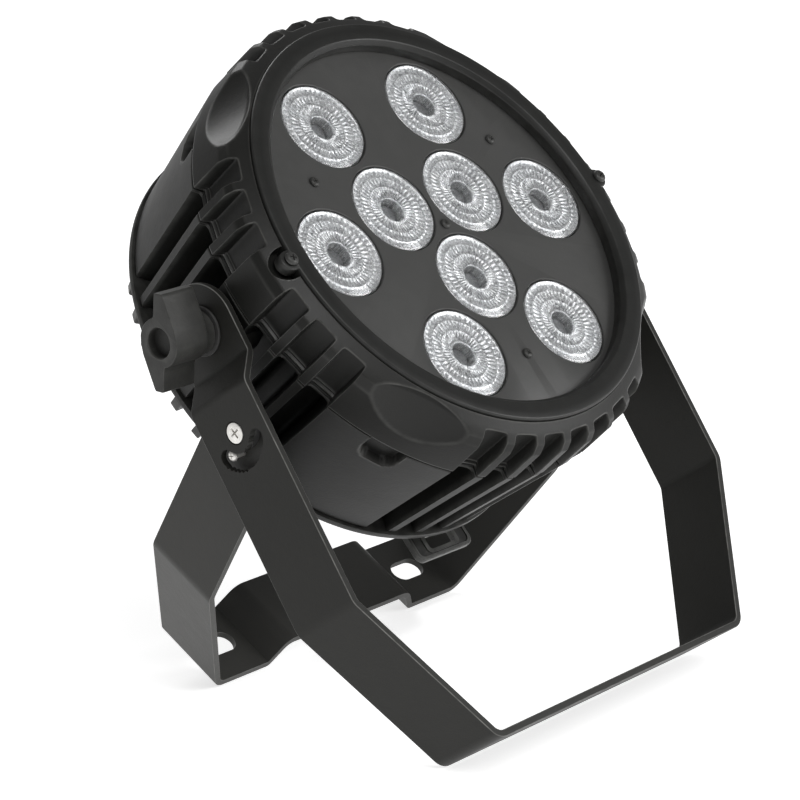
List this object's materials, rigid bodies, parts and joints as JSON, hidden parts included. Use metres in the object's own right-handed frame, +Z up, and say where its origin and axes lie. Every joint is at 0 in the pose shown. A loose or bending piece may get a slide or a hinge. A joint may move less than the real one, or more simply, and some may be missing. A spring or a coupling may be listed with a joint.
{
  "type": "led par can light",
  "caption": "Round finned stage light with a cluster of lenses, tilting in a U-shaped yoke by wing knobs, with a fold-out rear stand so that it also stands on the floor.",
  "frame": {"origin": "floor level, under the middle of the bounding box", "axes": "+X along the tilt axis, +Z up, beam towards -Y and upwards, yoke feet in front (-Y) and stand behind (+Y)"},
  "size_m": [0.286, 0.2382, 0.2846],
  "materials": {
    "front_housing": "satin black powder coat",
    "front_ring": "satin black powder coat",
    "lens_panel": "dark grey, slightly glossy",
    "lens": "clear moulded optic",
    "led_board": "white solder mask",
    "seam_gasket": "matt black",
    "rear_housing": "cast aluminium, satin black",
    "rear_cover": "satin black",
    "display_window": "dark tinted window",
    "menu_button": "grey, matt",
    "power_socket": "blue moulding",
    "data_socket": "black moulding",
    "power_supply": "potted module",
    "control_board": "green circuit board",
    "safety_eye": "satin black",
    "black_screw": "blackened steel",
    "steel_screw": "zinc plated",
    "fold_spacer": "black nylon",
    "tilt_washer": "black nylon",
    "front_yoke": "satin black powder coat",
    "rear_stand": "satin black powder coat",
    "wing_knob": "matt moulded plastic",
    "knob_stud": "zinc plated"
  },
  "bodies": {
    "yoke": {"front_yoke": "front_yoke", "fold_screw_left": "steel_screw", "fold_screw_right": "steel_screw", "fold_spacer_left": "fold_spacer", "fold_spacer_right": "fold_spacer", "tilt_washer_left": "tilt_washer", "tilt_washer_right": "tilt_washer"},
    "stand": {"rear_stand": "rear_stand", "stop_screw_left": "steel_screw", "stop_screw_right": "steel_screw"},
    "head": {"front_housing": "front_housing", "front_ring": "front_ring", "lens_panel": "lens_panel", "lens_1": "lens", "lens_2": "lens", "lens_3": "lens", "lens_4": "lens", "lens_5": "lens", "lens_6": "lens", "lens_7": "lens", "lens_8": "lens", "lens_9": "lens", "led_board": "led_board", "seam_gasket": "seam_gasket", "rear_housing": "rear_housing", "rear_cover": "rear_cover", "display_window": "display_window", "power_inlet": "power_socket", "power_outlet": "power_socket", "data_inlet": "data_socket", "data_outlet": "data_socket", "power_supply": "power_supply", "control_board": "control_board", "safety_eye": "safety_eye", "face_screw_1": "black_screw", "face_screw_2": "black_screw", "face_screw_3": "black_screw", "face_screw_4": "black_screw", "ring_screw_left": "black_screw", "ring_screw_right": "black_screw", "cover_screw_1": "black_screw", "cover_screw_2": "black_screw", "cover_screw_3": "black_screw", "cover_screw_4": "black_screw", "eye_screw_left": "black_screw", "eye_screw_right": "black_screw"},
    "knob_left": {"tilt_knob_left": "wing_knob", "tilt_stud_left": "knob_stud"},
    "knob_right": {"tilt_knob_right": "wing_knob", "tilt_stud_right": "knob_stud"},
    "button_1": {"menu_button_1": "menu_button"},
    "button_2": {"menu_button_2": "menu_button"},
    "button_3": {"menu_button_3": "menu_button"},
    "button_4": {"menu_button_4": "menu_button"}
  },
  "joints": [
    {"name": "head_tilt", "type": "hinge", "parent": "yoke", "child": "head", "pos_m": [0, 0.01337, 0.17543], "axis": [1, 0, 0], "range_deg": [-135, 135]},
    {"name": "stand_fold", "type": "hinge", "parent": "yoke", "child": "stand", "pos_m": [0, -0.0126, 0.13896], "axis": [1, 0, 0], "range_deg": [-105, 0]},
    {"name": "knob_turn_left", "type": "hinge", "parent": "head", "child": "knob_left", "pos_m": [0, 0.01337, 0.17543], "axis": [-1, 0, 0], "continuous": true},
    {"name": "knob_turn_right", "type": "hinge", "parent": "head", "child": "knob_right", "pos_m": [0, 0.01337, 0.17543], "axis": [1, 0, 0], "continuous": true},
    {"name": "button_1_press", "type": "slide", "parent": "head", "child": "button_1", "axis": [0, -0.7348, 0.6783], "range_m": [0, 0.0008], "stiffness_N_per_m": 500},
    {"name": "button_2_press", "type": "slide", "parent": "head", "child": "button_2", "axis": [0, -0.7348, 0.6783], "range_m": [0, 0.0008], "stiffness_N_per_m": 500},
    {"name": "button_3_press", "type": "slide", "parent": "head", "child": "button_3", "axis": [0, -0.7348, 0.6783], "range_m": [0, 0.0008], "stiffness_N_per_m": 500},
    {"name": "button_4_press", "type": "slide", "parent": "head", "child": "button_4", "axis": [0, -0.7348, 0.6783], "range_m": [0, 0.0008], "stiffness_N_per_m": 500}
  ]
}
